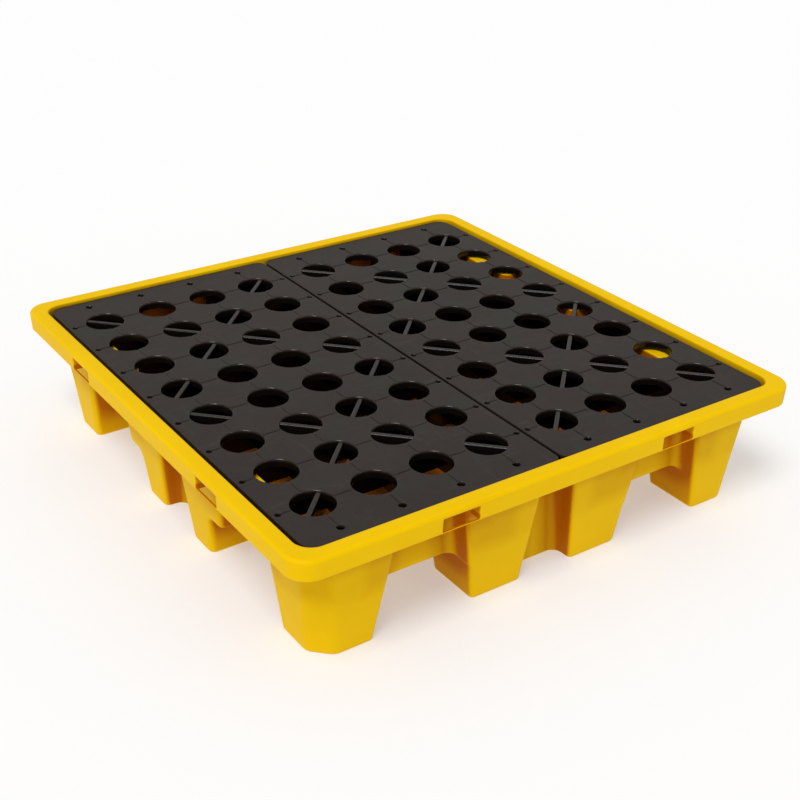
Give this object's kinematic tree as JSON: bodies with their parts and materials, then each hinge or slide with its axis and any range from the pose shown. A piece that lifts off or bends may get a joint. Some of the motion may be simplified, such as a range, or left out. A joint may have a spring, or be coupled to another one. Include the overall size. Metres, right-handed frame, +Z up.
{
  "type": "spill containment pallet",
  "caption": "Low square spill pallet: one-piece plastic sump with hollow feet and a hollow rim, fork pockets on every side, and lift-out grates pierced with round drain holes.",
  "frame": {"origin": "on the floor under the centre of the pallet", "axes": "+Z up; the seam between the grates runs along Y; +X is to the right of it"},
  "size_m": [1.29, 1.316, 0.293],
  "materials": {
    "yellow_plastic": "satin moulded polyethylene, fine orange-peel texture",
    "black_plastic": "matt moulded polyethylene, faint scuffs"
  },
  "bodies": {
    "sump_body": {"sump": "yellow_plastic"},
    "grate_right_body": {"grate_right": "black_plastic"},
    "grate_left_body": {"grate_left": "black_plastic"}
  },
  "joints": [
    {"name": "grate_right_lift", "type": "slide", "parent": "sump_body", "child": "grate_right_body", "axis": [0, 0, 1], "range_m": [0, 0.25]},
    {"name": "grate_left_lift", "type": "slide", "parent": "sump_body", "child": "grate_left_body", "axis": [0, 0, 1], "range_m": [0, 0.25]}
  ]
}
